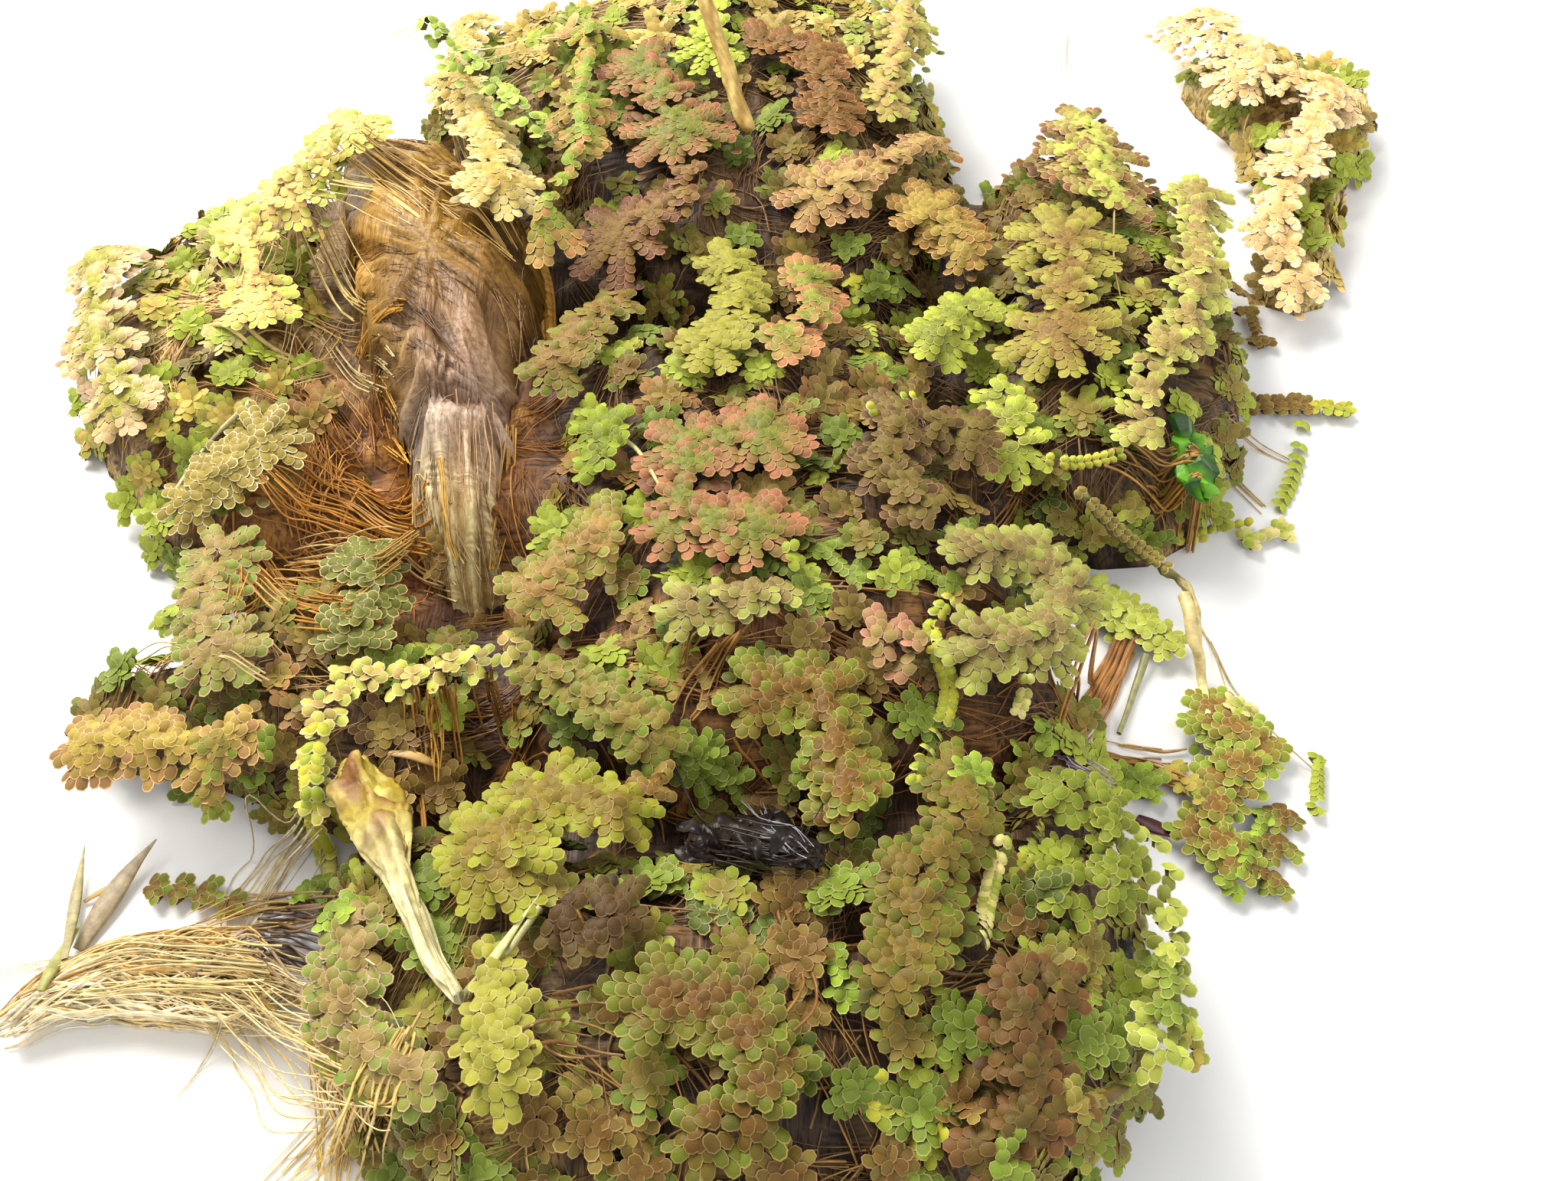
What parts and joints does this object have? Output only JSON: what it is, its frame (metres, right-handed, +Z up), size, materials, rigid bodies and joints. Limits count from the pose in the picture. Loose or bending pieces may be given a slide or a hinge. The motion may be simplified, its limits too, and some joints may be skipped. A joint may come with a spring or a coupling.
{
  "type": "mosquito fern clump",
  "caption": "Scooped clump of floating water fern: lobed plants with scale leaves heaped on tangled brown roots, lying on a flat surface.",
  "frame": {"origin": "on the floor, on the flat underside of the middle root mat, under the middle of the clump", "axes": "+Z up, out of the surface that the clump lies on; +Y from the front of the clump to its back, along its longest side; +X to the right as seen from the front"},
  "size_m": [0.1112, 0.121, 0.0229],
  "materials": {
    "roots": "wet brown roots, stands in for plant roots",
    "straw_stalk": "pale yellow-brown roots and stalks, satin",
    "green_stem": "olive green stem, satin",
    "straw_frond": "dried yellow leaf scales, satin",
    "ochre_frond": "ochre leaf scales, satin",
    "cream_frond": "cream and pale yellow leaf scales, satin",
    "lime_frond": "yellow-green leaf scales, satin",
    "green_frond": "green leaf scales, satin",
    "olive_frond": "olive green leaf scales with pink rims, satin",
    "brown_frond": "purple-brown leaf scales with pale rims, satin",
    "rose_frond": "pink-brown leaf scales with pale rims, satin",
    "black_litter": "wet black plant litter, glossy",
    "green_leaf": "smooth green leaf, glossy"
  },
  "bodies": {
    "root": {"root_mat_back": "roots", "root_mat_far": "roots", "wet_root_felt": "roots", "root_mat_left": "roots", "root_mat_low_left": "roots", "root_mat_middle": "roots", "root_mat_right": "roots", "root_mat_front": "roots", "root_tail": "straw_stalk", "green_leaf_scrap": "green_leaf", "black_litter": "black_litter", "withered_leaf": "cream_frond", "fern_front_large": "olive_frond", "fern_stalked": "lime_frond", "fern_front_main": "olive_frond", "fern_arch": "lime_frond", "fern_arch_right": "olive_frond", "fern_left_large": "olive_frond", "fern_pink": "rose_frond", "fern_large": "olive_frond", "fern_olive_front": "olive_frond", "fern_front_centre": "green_frond", "fern_right_edge": "lime_frond", "fern_right_mid": "green_frond", "fern_bead": "brown_frond", "fern_green_right": "green_frond", "fern_triangle": "brown_frond", "fern_right_green": "green_frond", "fern_bright": "lime_frond", "fern_lime": "lime_frond", "fern_tan": "rose_frond", "fern_purple": "brown_frond", "fern_brown_right": "brown_frond", "fern_light_green": "lime_frond", "fern_brown_purple": "brown_frond", "fern_olive": "olive_frond", "fern_olive_right": "lime_frond", "fern_rose_lower": "rose_frond", "fern_bright_right": "lime_frond", "fern_green_stem": "green_frond", "fern_left_pale": "olive_frond", "fern_left_middle": "olive_frond", "fern_dark_left": "green_frond", "fern_left_row": "brown_frond", "fern_front_right": "rose_frond", "fern_dark_front": "olive_frond", "fern_back_lime": "lime_frond", "fern_rose_back": "rose_frond", "fern_russet": "brown_frond", "fern_cream": "cream_frond", "fern_shade": "olive_frond", "fern_brown_gap": "olive_frond", "fern_back_ochre": "ochre_frond", "fern_far": "straw_frond", "fern_left_edge": "ochre_frond", "fern_left_upper": "ochre_frond", "fern_olive_back": "olive_frond", "fern_sickle": "green_frond", "creeping_stem": "green_stem", "ochre_stalk": "straw_stalk"}
  },
  "joints": []
}
